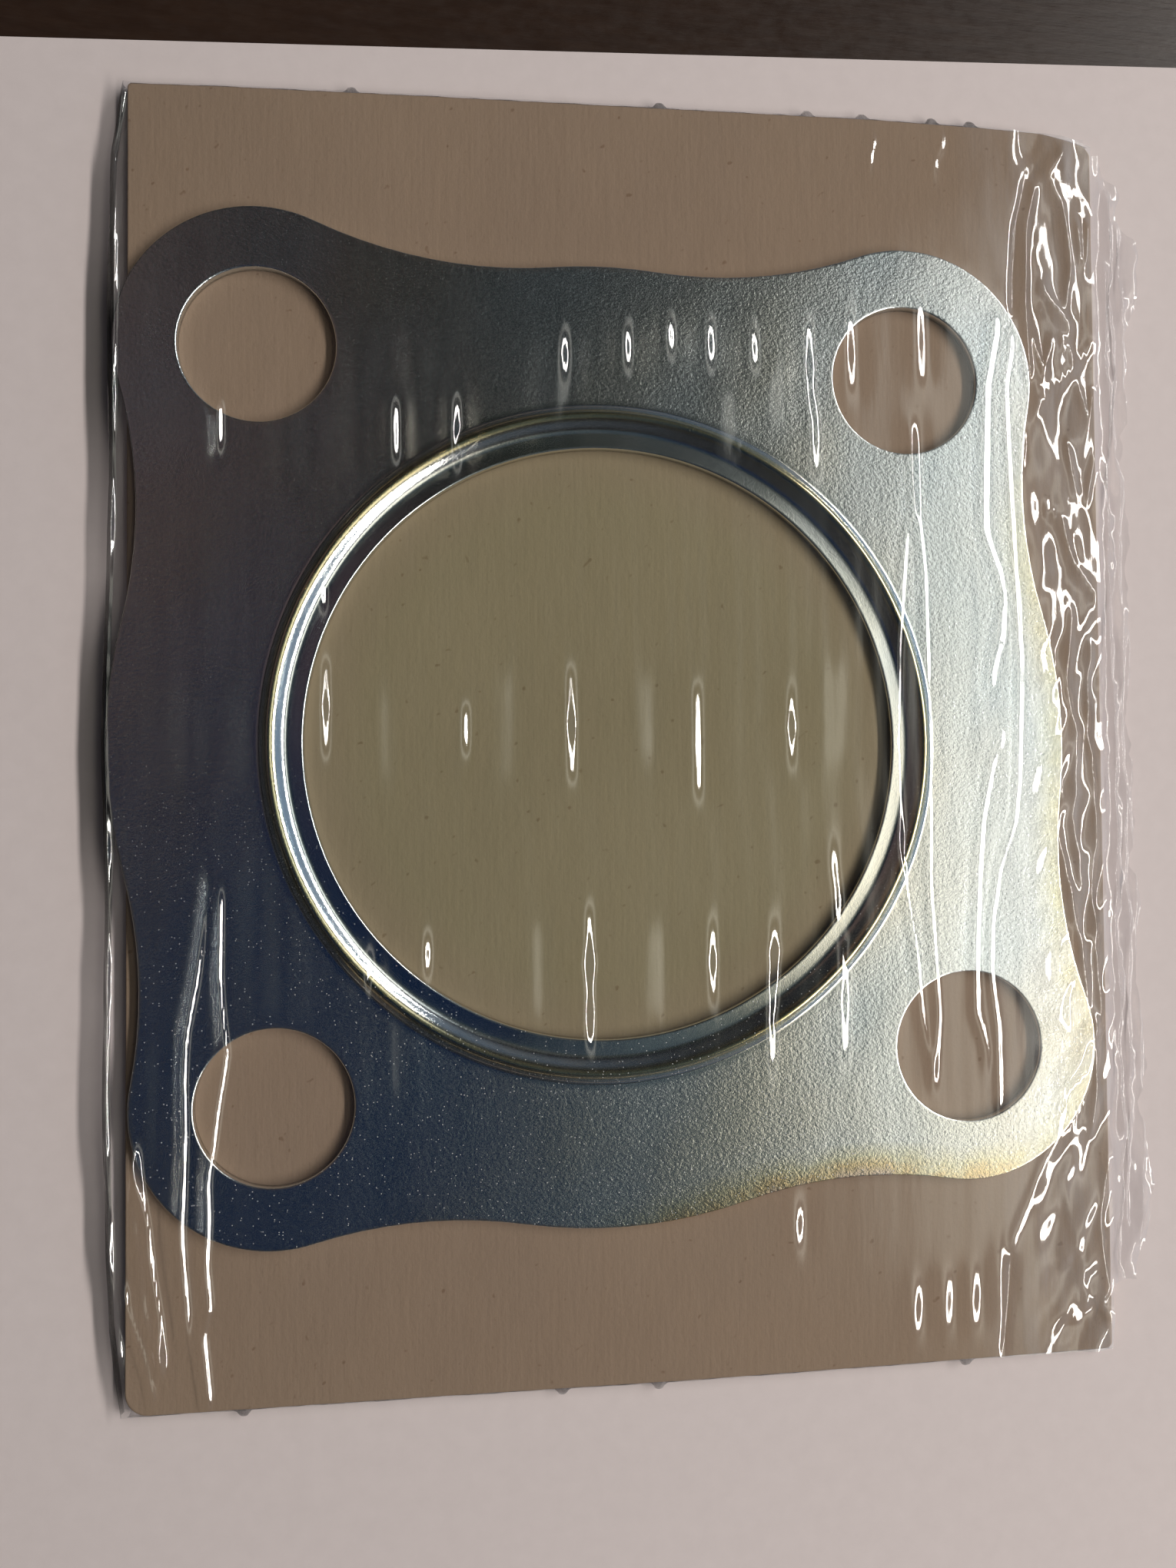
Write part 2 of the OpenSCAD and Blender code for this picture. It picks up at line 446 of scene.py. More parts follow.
def left_edge_x(y):
    """The folded left edge of the film, seen from the front."""
    return np.interp(y, [-76, -66, -40, -15, 0, 16, 30, 52, 68, 77],
                     [-55.4, -56.6, -57.1, -56.9, -57.3, -57.0, -56.6, -56.9, -56.6, -55.4])


def left_edge_z(y):
    """Height of the folded left edge, highest where the gasket's lobes and body hold it up."""
    held = sum(np.exp(-((y - at) / reach) ** 2) for at, reach in LEFT_HOLDS)
    return LEFT_Z + LEFT_RISE * np.clip(held, 0, 1) - LEFT_FALL * smoothstep(56, 76, np.abs(y))


def relaxed_film(x, y):
    """A tight film over what it wraps: a membrane that is held up by what lies under it."""
    xs = np.arange(FOLD_LOW[0], CARD_HIGH[0] + RELAX_STEP, RELAX_STEP)
    ys = np.arange(CARD_LOW[1], CARD_HIGH[1] + RELAX_STEP, RELAX_STEP)
    gx, gy = np.meshgrid(xs, ys)
    half = RELAX_STEP / 2
    shifts = [(sx, sy) for sx in (-half, 0, half) for sy in (-half, 0, half)]
    floor = np.max([under_film(gx + sx, gy + sy) for sx, sy in shifts], axis=0) + FILM_CLEAR
    z = np.full(gx.shape, CREST_Z)
    for _ in range(RELAX_TURNS):
        z[0, :] = WEB_EDGE_Z
        z[-1, :] = WEB_EDGE_Z
        z[:, 0] = left_edge_z(ys)
        z[:, -1] = RIGHT_Z
        middle = (z[:-2, 1:-1] + z[2:, 1:-1] + z[1:-1, :-2] + z[1:-1, 2:]) / 4
        z[1:-1, 1:-1] = np.maximum(middle, floor[1:-1, 1:-1])
    fx = np.clip((x - xs[0]) / RELAX_STEP, 0, len(xs) - 1.001)
    fy = np.clip((y - ys[0]) / RELAX_STEP, 0, len(ys) - 1.001)
    ix, iy = fx.astype(int), fy.astype(int)
    tx, ty = fx - ix, fy - iy
    low = z[iy, ix] * (1 - tx) + z[iy, ix + 1] * tx
    high = z[iy + 1, ix] * (1 - tx) + z[iy + 1, ix + 1] * tx
    return low * (1 - ty) + high * ty


def slope_to_key(x, y, z):
    """The slope from left to right at which the film mirrors the key lamp into the lens."""
    to_eye = np.array([CAMERA_AT[0] - x, CAMERA_AT[1] - y, CAMERA_AT[2] - z])
    to_lamp = np.array([KEY_X - x, 0 * x, LAMP_Z - z])
    half = to_eye / np.linalg.norm(to_eye, axis=0) + to_lamp / np.linalg.norm(to_lamp, axis=0)
    return -half[0] / half[2]


def turn_to_key(x, y, z, base, line):
    """How far the film's slope has to change on a line before it mirrors the key lamp."""
    here = [np.interp(line[i, 0], x[i], base[i]) for i in range(len(x))]
    return slope_to_key(line[:, :1], y[:, :1], z[:, :1]) - np.array(here)[:, None]


def ends(y, ys, length):
    """1 along a path, and fading past its two ends."""
    past = np.maximum(0, np.maximum(ys[0] - y, y - ys[-1]))
    return np.exp(-past ** 2 / (2 * length ** 2))


def pleat(x, y, z, base, path, strength=1.04, narrow=1.0, end=1.8):
    """Adds a pleat up a path of (y, left, right), whose two flanks catch the lamp on those lines.
    base is the film's slope from left to right before any pleat. A strength well under 1 turns the
    film only part of the way to the lamp, for a soft streak."""
    ys = [p[0] for p in path]
    middle = np.interp(y, ys, [(p[1] + p[2]) / 2 for p in path])
    half = np.interp(y, ys, [(p[2] - p[1]) / 2 for p in path])
    wide = np.maximum(2 * half, narrow)
    q = (half / wide) ** 2
    peak = strength / ((1 - q) * np.exp(-q / 2))
    off = x - middle
    shape = np.exp(-off ** 2 / (2 * wide ** 2)) * ends(y, ys, end)
    return z + peak * turn_to_key(x, y, z, base, middle) * off * shape


# The web's column spacing, which rounds off the slope of a narrow rib, and the length of a rib's ends
RIB_SAMPLING = 0.25
RIB_END = 1.5


def rib(x, y, z, base, width, path):
    """Adds a standing rib whose right flank catches the lamp along a path of (y, x)."""
    path = sorted(path)
    ys = [p[0] for p in path]
    line = np.interp(y, ys, [p[1] for p in path])
    off = x - line + width
    shape = np.exp(-off ** 2 / (2 * width ** 2)) * ends(y, ys, RIB_END)
    reach = 1.03 * (1 + (RIB_SAMPLING / width) ** 2 / 3)
    return z - reach * math.exp(0.5) * turn_to_key(x, y, z, base, line) * width * shape


def crease(x, y, z, path, width, height):
    """Adds a ridge along a path of points, or a valley where the height is negative."""
    distance = np.full(x.shape, 1e9)
    for (x0, y0), (x1, y1) in zip(path, path[1:]):
        length2 = (x1 - x0) ** 2 + (y1 - y0) ** 2
        t = np.clip(((x - x0) * (x1 - x0) + (y - y0) * (y1 - y0)) / length2, 0, 1)
        distance = np.minimum(distance, np.hypot(x - x0 - t * (x1 - x0), y - y0 - t * (y1 - y0)))
    return z + height * np.exp(-(distance / width) ** 1.5)


# Single streaks and narrow loops of light on the film: x, top, bottom, half width
STREAKS = [
    (-32.3, 8, 0, 0.45), (-16.3, 3, 0, 0.1), (-4.1, 7, -3, 0.55), (10.9, 5, -5, 0.2),
    (22.3, 4.5, -1, 0.7), (-32.6, 17.5, 16.5, 0.35), (-20.9, -23.5, -25.5, 0.4), (-2.2, -21, -31, 0.75),
    (-2.2, -33, -34, 0.2), (12.4, -23, -29, 0.6), (19.9, -23, -27, 0.8), (19.6, -29, -37, 0.45),
    (27.3, -14, -15, 0.3), (27.8, -18.5, -20.5, 0.4), (38.3, 37, 31.5, 0.45), (28.5, -26, -36, 0.45),
    (-27.5, -25.5, -27, 0.5), (35.6, -12.5, -13.5, 0.4), (-24.2, 38.5, 34, 0.15), (-17.2, 39, 33.5, 0.45),
    (-4.4, 47, 45, 0.45), (3.0, 48, 46, 0.3), (8.3, 49, 48, 0.2), (13.1, 49, 46.5, 0.35),
    (18.4, 48, 46.5, 0.2), (25.2, 49, 42, 0.55), (25.8, 39, 34, 0.4), (30.4, 50, 44.5, 0.5),
    (39.4, 52, 46, 0.3), (37.6, -67, -69.5, 0.5), (41.5, -66.5, -69, 0.3), (44.9, -66, -69, 0.55),
    (48.5, -62.5, -66.5, 0.5), (22.8, -56.5, -58.5, 0.5),
]

# Soft broad streaks of light: x, top, bottom
SOFT_STREAKS = [
    (-26.8, 44, 34), (-20.6, 46, 38), (-35.4, 37, 32), (-38.6, -16, -29), (-24.5, -33, -39),
    (-51.5, -36, -46), (-25.7, 4, -3), (-12, 6, -3), (-8, -23, -30), (5, 6, 0), (28, 7, 0),
    (5.5, -24, -30), (-5, 45, 40), (15, 40, 36), (21, 45, 40), (-46, 4, -2),
]

# Lines of light down the right flank of standing ribs: the rib's width, then y, x along it
LINES = [
    (0.40, [(36, 38.2), (29, 38.2), (25, 37.1), (20, 36.5), (12, 35.9), (0, 35.5), (-12, 35.8), (-19, 36.5),
            (-25, 37.5), (-33, 38.2), (-39, 39.4)]),
    (0.40, [(30, 38.3), (26, 38.8), (21, 39.3), (8, 39.5), (-10, 39.5), (-17, 39.3), (-24, 39.8),
            (-33, 40.4), (-39.5, 39.8)]),
    (0.60, [(51, 49.3), (44, 47.9), (34, 47.5), (26, 47.3), (21, 49), (18, 49.8), (12, 49), (8, 47.9)]),
    (0.50, [(0, 49), (-2, 47.9), (-10, 46.2), (-16, 45.7), (-26, 45.2), (-33, 45.2), (-37.5, 46.6)]),
    (0.40, [(49, 51.2), (44, 50.3), (34, 50.6), (10, 51.6), (-5, 51.1), (-10, 50.5), (-15, 48.5),
            (-22, 47.3), (-28, 47.1), (-35, 47.9), (-43, 48)]),
    (0.50, [(-17, -45.2), (-22, -45.9), (-27, -46.7), (-33, -47.8), (-38, -48.1), (-44, -48.0), (-51, -48.2),
            (-55, -48.4), (-59, -48.2), (-64, -47.8), (-66.5, -47.6)]),
    (0.50, [(-18, -44.0), (-27, -44.1), (-31, -43.8), (-35.3, -43.3), (-41, -44.3),
            (-45.6, -44.8), (-49.3, -45.5), (-54, -45.4), (-59, -45.7), (-64, -45.3), (-67, -46.1),
            (-74, -45.5)]),
    (0.45, [(-47.5, -53.4), (-54.5, -53.4), (-57.5, -52.7), (-64, -52.4), (-69, -50.9)]),
    (0.40, [(-47.5, -53.2), (-54, -52.1), (-59.5, -51.6), (-65, -50.8), (-69.5, -50.5)]),
    (0.40, [(-62.5, -54.5), (-65.5, -53.7), (-68.5, -52.6), (-73, -51.6)]),
    (0.60, [(38, -44.1), (34.5, -44.1)]),
    (0.30, [(75, -55.2), (68, -56.2), (52, -55.8), (30, -56.1), (16, -56.4), (2, -56.8), (-15, -56.4),
            (-40, -56.6), (-60, -56.1), (-68, -55.2)]),
    (0.45, [(62, 59), (58, 60), (54, 60.7)]),
    (0.50, [(54.5, 55.2), (51, 56.8), (47.5, 58)]),
    (0.35, [(47.5, 54.6), (44.5, 54.4)]),
    (0.35, [(43, 61.4), (40, 60.4), (38.5, 61.2)]),
    (0.45, [(34.5, 61), (32, 59), (30, 60.6)]),
    (0.45, [(23, 60.9), (21, 59.5), (19, 58)]),
    (0.35, [(12, 58.8), (2, 59.8), (-8, 59), (-16, 60)]),
    (0.45, [(-44.5, 57.2), (-49.5, 54.6), (-56, 51.9), (-60.5, 49.9)]),
    (0.40, [(-57, 56.9), (-61, 57.9)]),
    (0.40, [(-47, 60.5), (-52, 58.6)]),
    (0.35, [(-63, 58.5), (-69, 59.5)]),
    (0.35, [(74.3, 43.2), (72.6, 42.1)]),
    (0.30, [(74, 34.3), (72.6, 33.8)]),
]

# Creases in the loose film by the welded side: path, width, height
CREASES = [
    ([(57.5, 74.7), (53.7, 70.1), (52.4, 65), (51.7, 58), (51.5, 53.8)], 0.5, -0.35),
    ([(58.5, 74.2), (54.8, 69.6), (53.5, 64.5), (53, 55), (53.2, 45)], 0.5, 0.35),
    ([(60.2, 65), (60.5, 61), (61.4, 60.6), (61.8, 65)], 0.45, 0.4),
    ([(55.4, 56.8), (57, 54.5), (59.1, 52)], 0.6, 0.45),
    ([(57.8, 50), (58.8, 49.4), (59.4, 48)], 0.4, 0.3),
    ([(54, 50), (55.2, 46.2), (56.4, 49.6)], 0.4, 0.25),
    ([(54, 41.4), (58, 45.4), (61.9, 49.6)], 0.5, 0.4),
    ([(60.2, 44), (61.2, 40), (62, 43.6)], 0.45, 0.35),
    ([(58.3, 36.5), (59.4, 31.5), (61, 30.6), (62, 35.5)], 0.45, 0.4),
    ([(55.4, 29), (57, 27.4), (58.6, 27)], 0.4, 0.3),
    ([(57.3, 27), (59, 22), (60.5, 20), (62, 18)], 0.5, 0.4),
    ([(58.5, 16), (57.6, 8), (58.8, 0), (58, -9), (59, -18)], 0.6, 0.3),
    ([(61, 12), (60.4, 2), (61.2, -8), (60.6, -20), (61.3, -33)], 0.5, 0.3),
    ([(56, -12), (58.5, -24), (60.6, -38), (60, -48)], 0.6, 0.35),
    ([(49.4, -63.4), (49, -69), (48.6, -74.3)], 0.5, -0.25),
    ([(61.9, -52), (60.6, -60), (61.8, -66)], 0.5, 0.35),
    ([(61.9, -67), (61, -69), (61.9, -71)], 0.5, 0.4),
    ([(56.7, -70.5), (59.5, -71.5), (61.8, -70.8)], 0.5, 0.25),
    ([(56.5, 71), (58.4, 67.5), (59.3, 60), (58.6, 55)], 0.5, 0.3),
]


def ripples(x, y):
    """The soft ripples that run up and down the film, weaker where it is tight on the right."""
    sway = 1.2 * np.sin(y / 21) + 0.7 * np.sin(y / 9 + 1)
    total = 0.019 * np.sin((x + sway) * 2 * math.pi / 7.3) * (1 + 0.5 * np.sin(y / 17 + 0.4))
    total += 0.012 * np.sin((x + 0.6 * sway) * 2 * math.pi / 3.7 + 1.1) * (1 + 0.7 * np.sin(y / 12 + 2))
    total += 0.006 * np.sin((x - 0.5 * sway) * 2 * math.pi / 2.1 + 0.3) * (1 + 0.8 * np.sin(y / 8))
    away = smoothstep(4, 26, 76 - np.abs(y)) * smoothstep(-57, -50, x) * smoothstep(62, 54, x)
    taut = 1 - 0.45 * smoothstep(38, 46, np.hypot(x, y)) * smoothstep(4, 20, x)
    return total * away * taut


def swell(x, y, seed, wave, slope, lean=0.0, spread=0.45):
    """A smooth random sum of waves of about a given slope: standing ridges, turned by about lean."""
    random = np.random.default_rng(seed)
    total = np.zeros(x.shape)
    count = 10
    for _ in range(count):
        a = random.normal(lean, spread)
        length = wave * random.uniform(0.6, 1.7)
        phase = random.uniform(0, 2 * math.pi)
        tall = slope * length / (2 * math.pi) * math.sqrt(2 / count)
        total += tall * np.sin((x * math.cos(a) + y * math.sin(a)) * 2 * math.pi / length + phase)
    return total


def random_line(random, at, knots, low, high):
    """A broken line through random values between low and high at its knots."""
    return np.interp(at, knots, random.uniform(low, high, len(knots)))


def web_grid():
    """The front web's plan: rows from bottom to top, from the folded edge to the card's right edge."""
    rows = np.linspace(CARD_LOW[1], CARD_HIGH[1], WEB_ROWS)[:, None]
    start = left_edge_x(rows)
    tight = np.linspace(0, 1, WEB_COLUMNS - LOOSE_COLUMNS, endpoint=False)[None, :]
    loose = np.linspace(0, 1, LOOSE_COLUMNS)[None, :]
    x = np.hstack([start + (LOOSE_X - start) * tight,
                   LOOSE_X + (FILM_HIGH[0] - LOOSE_X) * loose + 0 * start])
    y = np.repeat(rows, WEB_COLUMNS, axis=1)
    up = smoothstep(CARD_HIGH[1] - 6, CARD_HIGH[1], y)
    down = smoothstep(CARD_LOW[1] + 6, CARD_LOW[1], y)
    return x, y + up * bow(TOP_BOW, x) + down * bow(BOTTOM_BOW, x)


def web_heights(x, y):
    """Heights of the front web, with its ripples, pleats and creases."""
    z = relaxed_film(x, y)
    z = z + ripples(x, y)
    base = np.gradient(z, axis=1) / np.gradient(x, axis=1)
    for sx, top, bottom in SOFT_STREAKS:
        z = pleat(x, y, z, base, [(bottom, sx, sx), (top, sx, sx)], strength=0.42, narrow=1.8, end=2.5)
    base = np.gradient(z, axis=1) / np.gradient(x, axis=1)
    for sx, top, bottom, half in STREAKS:
        middle = (top + bottom) / 2
        path = [(bottom, sx, sx), (middle, sx - half, sx + half), (top, sx, sx)]
        z = pleat(x, y, z, base, path)
    for width, line in LINES:
        z = rib(x, y, z, base, width, line)
    for path, width, height in CREASES:
        z = crease(x, y, z, path, width, height)
    # The loose film swells upright towards its top, and slanted below
    high = smoothstep(8, 28, y)
    upright = swell(x, y, seed=11, wave=7, slope=0.12) + swell(x, y, seed=12, wave=3, slope=0.04)
    slanted = (swell(x, y, seed=14, wave=4.2, slope=0.21, lean=-0.62, spread=0.28)
               + swell(x, y, seed=15, wave=9, slope=0.08))
    z = z + smoothstep(51, 55, x) * high * upright
    z = z + smoothstep(52, 57, x) * (1 - high) * slanted
    z = z + smoothstep(-54, -56, x) * swell(x, y * 0.5, seed=13, wave=2.5, slope=0.16)
    z = np.maximum(z, under_film(x, y) + 0.7 * FILM_CLEAR)
    return np.minimum(z, FILM_HIGH[2])


def add_film(name, x, y, z, material, body, node):
    """A run of film from a grid of points, row by row."""
    rows, columns = x.shape
    verts = list(zip(x.ravel(), y.ravel(), z.ravel()))
    return add_object(name, verts, strip_faces(columns, rows, False), material, body, [node])


def make_front_web(material):
    """The clear web over the gasket and the card."""
    x, y = web_grid()
    z = web_heights(x, y)
    return add_film("film_front_web", x, y, z, material, "front_film", "film_front"), x, y, z


# The folded left edge: rows from the front to the back, its bulge, its small folds, and how far it
# may stand past the CAD's fold
WRAP_ROWS = 9
WRAP_BULGE = 0.1
WRAP_FOLD = 0.12
WRAP_OVER = 0.3


def make_left_wrap(material, x, y, z):
    """The film's folded left edge, from the front web down to the back."""
    ex, ey, ez = x[:, 0], y[:, 0], z[:, 0]
    t = np.linspace(0, 1, WRAP_ROWS)[:, None]
    fold = WRAP_FOLD * np.sin(ey / 2.3 + 5 * t) * np.sin(ey / 5.1)
    wx = np.maximum(FOLD_LOW[0] - WRAP_OVER, ex + (fold - WRAP_BULGE) * np.sin(math.pi * t))
    wz = ez + (FOLD_LOW[2] - ez) * t
    return add_film("film_left_wrap", wx, ey + 0 * t, wz, material, "front_film", "left_fold")


# The back web's grid, its height over the floor and its waves
BACK_COLUMNS = 80
BACK_ROWS = 96
BACK_Z = 0.045
BACK_WAVE = 0.02


def make_back_web(material):
    """The web that the pack lies on."""
    ys = np.linspace(BACK_LOW[1], BACK_HIGH[1], BACK_ROWS)[:, None]
    across = np.linspace(0, 1, BACK_COLUMNS)[None, :]
    start = np.maximum(left_edge_x(ys), BACK_LOW[0])
    x = start + (BACK_HIGH[0] - start) * across
    y = np.repeat(ys, BACK_COLUMNS, axis=1)
    z = BACK_Z + BACK_WAVE * np.sin(x / 3.1 + 0.8 * np.sin(y / 13)) * np.sin(y / 19 + 1)
    return add_film("film_back_web", x, y, z, material, "card_and_back", "film_back")


# The flange's grid, the width of its slope, and its lowest, middle and highest height
FLANGE_COLUMNS = 56
FLANGE_ROWS = 420
SLOPE_W = 3.0
FLANGE_LOW = 0.12
FLANGE_FLAT = 0.3
FLANGE_HIGH = 3
# The mean height that its crumpled part adds
FLANGE_LIFT = 0.45
# Standing pleats of the flange
FLANGE_LINES = [
    [(64.6, 70), (65.4, 52), (65.9, 30), (65.6, 5), (66.1, -20), (65.7, -45), (65.2, -60)],
    [(66.6, 66), (66.9, 48), (67.3, 25), (66.8, 0), (67.2, -25), (67.5, -50), (66.6, -62)],
    [(63.8, 60), (64.3, 40), (63.9, 20), (64.4, 0), (64, -22), (64.6, -48)],
]


def ragged_edge(y):
    """The torn outer edge of the flange."""
    random = np.random.default_rng(21)
    long_wave = random_line(random, y, np.arange(-80, 81, 5.0), -1.3, 0.1)
    short_wave = random_line(random, y, np.arange(-80, 81, 1.4), -0.5, 0)
    shape = np.interp(y, [-68, -60, -40, -10, 20, 45, 52, 56, 64, 67, 70, 74],
                      [-3.2, -0.8, -1.6, -2.2, -2.4, -2.0, -2.4, -0.4, 0, -2.6, -2.6, -6])
    return np.clip(SEAL_HIGH[0] + long_wave + short_wave + shape, SEAL_LOW[0] + 1, SEAL_HIGH[0])


def make_side_flange(material, web_z):
    """The welded side: the loose film falls to the floor and ends in a crumpled, ragged flange."""
    ys = np.linspace(SEAL_LOW[1], SEAL_HIGH[1], FLANGE_ROWS)
    far = ragged_edge(ys)
    across = np.linspace(0, 1, FLANGE_COLUMNS)[None, :]
    x = SEAL_LOW[0] + (far[:, None] - SEAL_LOW[0]) * across
    y = np.repeat(ys[:, None], FLANGE_COLUMNS, axis=1)
    start = web_z[:, None]
    fall = smoothstep(SEAL_LOW[0] - 0.5, SEAL_LOW[0] + SLOPE_W, x)
    z = start + (FLANGE_FLAT - start) * fall
    free = smoothstep(SEAL_LOW[0], SEAL_LOW[0] + 2, x)
    crumple = swell(x, y * 0.5, seed=31, wave=3, slope=0.5) + swell(x, y, seed=32, wave=1.4, slope=0.25)
    z = z + free * (crumple + FLANGE_LIFT)
    for path in FLANGE_LINES:
        z = crease(x, y, z, path, width=0.35, height=0.55)
    z = np.clip(z, FLANGE_LOW, FLANGE_HIGH)
    return add_film("film_side_flange", x, y, z, material, "card_and_back", "side_seal")


# Trimmed welds: the rim's reach, the shares between which it wanders, its points along and round, how
# far it overlaps the card's edge and stops short of the card's two sides, its height as a share of the
# film's, and its foot's height
TRIM_R = 0.3
TRIM_WANDER = (0.6, 1.25)
TRIM_COLUMNS = 420
TRIM_STEPS = 10
TRIM_OVERLAP = 0.1
TRIM_SHORT = (0.3, 0.4)
TRIM_TALL = 0.9
TRIM_FOOT_Z = 0.05
# Their vent bumps: how far they swell, their half length and where they sit
VENT_SWELL = 0.8
VENT_R = 0.7
VENT_XS = {"top_seal": (-29.5, 7.5, 42, 26, 33, 47), "bottom_seal": (-42, -5.5, 6, 44)}


def make_trim(name, node, material, outwards):
    """A trimmed weld: a thin melted rim along the card's edge, swollen at its vent bumps."""
    low, high = node_box(node)
    inner = low[1] if outwards > 0 else high[1]
    random = np.random.default_rng(41 if outwards > 0 else 42)
    xs = np.linspace(CARD_LOW[0] + TRIM_SHORT[0], CARD_HIGH[0] - TRIM_SHORT[1], TRIM_COLUMNS)
    wander = random_line(random, xs, np.arange(-60, 70, 1.5), *TRIM_WANDER)
    swollen = sum(np.exp(-((xs - v) / VENT_R) ** 4) for v in VENT_XS[node])
    edge = inner + bow(TOP_BOW if outwards > 0 else BOTTOM_BOW, xs)
    tall = TRIM_TALL * (CARD_HIGH[2] + FILM_CLEAR)
    a = np.linspace(0, math.pi, TRIM_STEPS + 1)[:, None]
    reach = (TRIM_R * wander + VENT_SWELL * swollen) * np.sin(a) - TRIM_OVERLAP
    z = tall / 2 * (1 + np.cos(a)) + TRIM_FOOT_Z
    add_film(name, xs + 0 * a, edge + outwards * reach, z + 0 * xs, material, "card_and_back", node)


# Materials

def new_material(name):
    """An empty node material and its tree."""
    material = bpy.data.materials.new(name)
    material.use_nodes = True
    tree = material.node_tree
    tree.nodes.clear()
    return material, tree


def feed(tree, value, socket):
    """Sets an input to a value, or links it to another node's socket."""
    if isinstance(value, bpy.types.NodeSocket):
        tree.links.new(value, socket)
    else:
        socket.default_value = value


def add_node(tree, kind, **inputs):
    """A node and its inputs, each a value or a socket; an underscore in a name stands for a space."""
    node = tree.nodes.new(kind)
    for name, value in inputs.items():
        feed(tree, value, node.inputs[name.replace("_", " ")])
    return node


def show(tree, shader):
    """Makes a shader the material's surface."""
    add_node(tree, "ShaderNodeOutputMaterial", Surface=shader.outputs[0])


def object_coordinates(tree, stretch, turn_deg=0):
    """Object coordinates in millimetres times stretch, turned in the plan."""
    source = tree.nodes.new("ShaderNodeTexCoord")
    turn = add_node(tree, "ShaderNodeMapping", Vector=source.outputs["Object"],
                    Rotation=(0, 0, math.radians(turn_deg)))
    scale = add_node(tree, "ShaderNodeMapping", Vector=turn.outputs["Vector"],
                     Scale=[s / MM for s in stretch])
    return scale.outputs["Vector"]


def place_part(tree, axis):
    """One of an object's coordinates, X, Y or Z, in millimetres."""
    parts = add_node(tree, "ShaderNodeSeparateXYZ", Vector=object_coordinates(tree, (1, 1, 1)))
    return parts.outputs[axis]


def distance_from_bore(tree):
    """How far a point stands from the main bore's centre line, in millimetres."""
    length = tree.nodes.new("ShaderNodeVectorMath")
    length.operation = "LENGTH"
    tree.links.new(object_coordinates(tree, (1, 1, 0)), length.inputs[0])
    return length.outputs["Value"]


def noise(tree, stretch, detail, roughness, distortion=0.0, turn_deg=0):
    """Soft noise of about stretch cycles per millimetre along each axis, turned in the plan."""
    node = add_node(tree, "ShaderNodeTexNoise", Vector=object_coordinates(tree, stretch, turn_deg), Scale=1,
                    Detail=detail, Roughness=roughness, Distortion=distortion)
    return node.outputs["Fac"]


def ramp(tree, value, stops):
    """A colour ramp; each stop is a position and a colour."""
    node = add_node(tree, "ShaderNodeValToRGB", Fac=value)
    elements = node.color_ramp.elements
    while len(elements) < len(stops):
        elements.new(0.5)
    for element, (position, colour) in zip(elements, stops):
        element.position = position
        element.color = (*colour, 1)
    return node.outputs["Color"]


def math_node(tree, operation, *values):
    """A sum, product or other operation on values, each a number or a socket."""
    node = tree.nodes.new("ShaderNodeMath")
    node.operation = operation
    for value, socket in zip(values, node.inputs):
        feed(tree, value, socket)
    return node.outputs["Value"]


def map_range(tree, value, from_low, from_high, to_low=0, to_high=1):
    """A value mapped from one range to another, and held at its ends."""
    node = add_node(tree, "ShaderNodeMapRange", Value=value, From_Min=from_low, From_Max=from_high,
                    To_Min=to_low, To_Max=to_high)
    return node.outputs["Result"]


def mix_colours(tree, factor, a, b, blend="MIX"):
    """Two colours mixed or multiplied."""
    node = tree.nodes.new("ShaderNodeMix")
    node.data_type = "RGBA"
    node.blend_type = blend
    for value, index in ((factor, 0), (a, 6), (b, 7)):
        feed(tree, value, node.inputs[index])
    return node.outputs[2]


def mix_shaders(tree, factor, a, b):
    """Two shaders mixed by a factor."""
    node = add_node(tree, "ShaderNodeMixShader", Fac=factor)
    tree.links.new(a.outputs[0], node.inputs[1])
    tree.links.new(b.outputs[0], node.inputs[2])
    return node


def bump(tree, height, depth_mm, below=None):
    """A bumped normal, over another one where below is given."""
    node = add_node(tree, "ShaderNodeBump", Height=height, Strength=1, Distance=depth_mm * MM)
    if below is not None:
        tree.links.new(below, node.inputs["Normal"])
    return node.outputs["Normal"]


def specks(tree, per_mm, radius, share):
    """Small round specks: 1 inside them and 0 outside; share is the part of the cells without one."""
    cells = add_node(tree, "ShaderNodeTexVoronoi", Vector=object_coordinates(tree, (per_mm,) * 3), Scale=1,
                     Randomness=1)
    near = math_node(tree, "LESS_THAN", cells.outputs["Distance"], radius * per_mm)
    chosen = add_node(tree, "ShaderNodeSeparateColor", Color=cells.outputs["Color"])
    return math_node(tree, "MULTIPLY", near, math_node(tree, "GREATER_THAN", chosen.outputs["Red"], share))


# Radii between which the bead's smooth finish turns into the sheet's grain
SMOOTH_R = (40.2, 41)


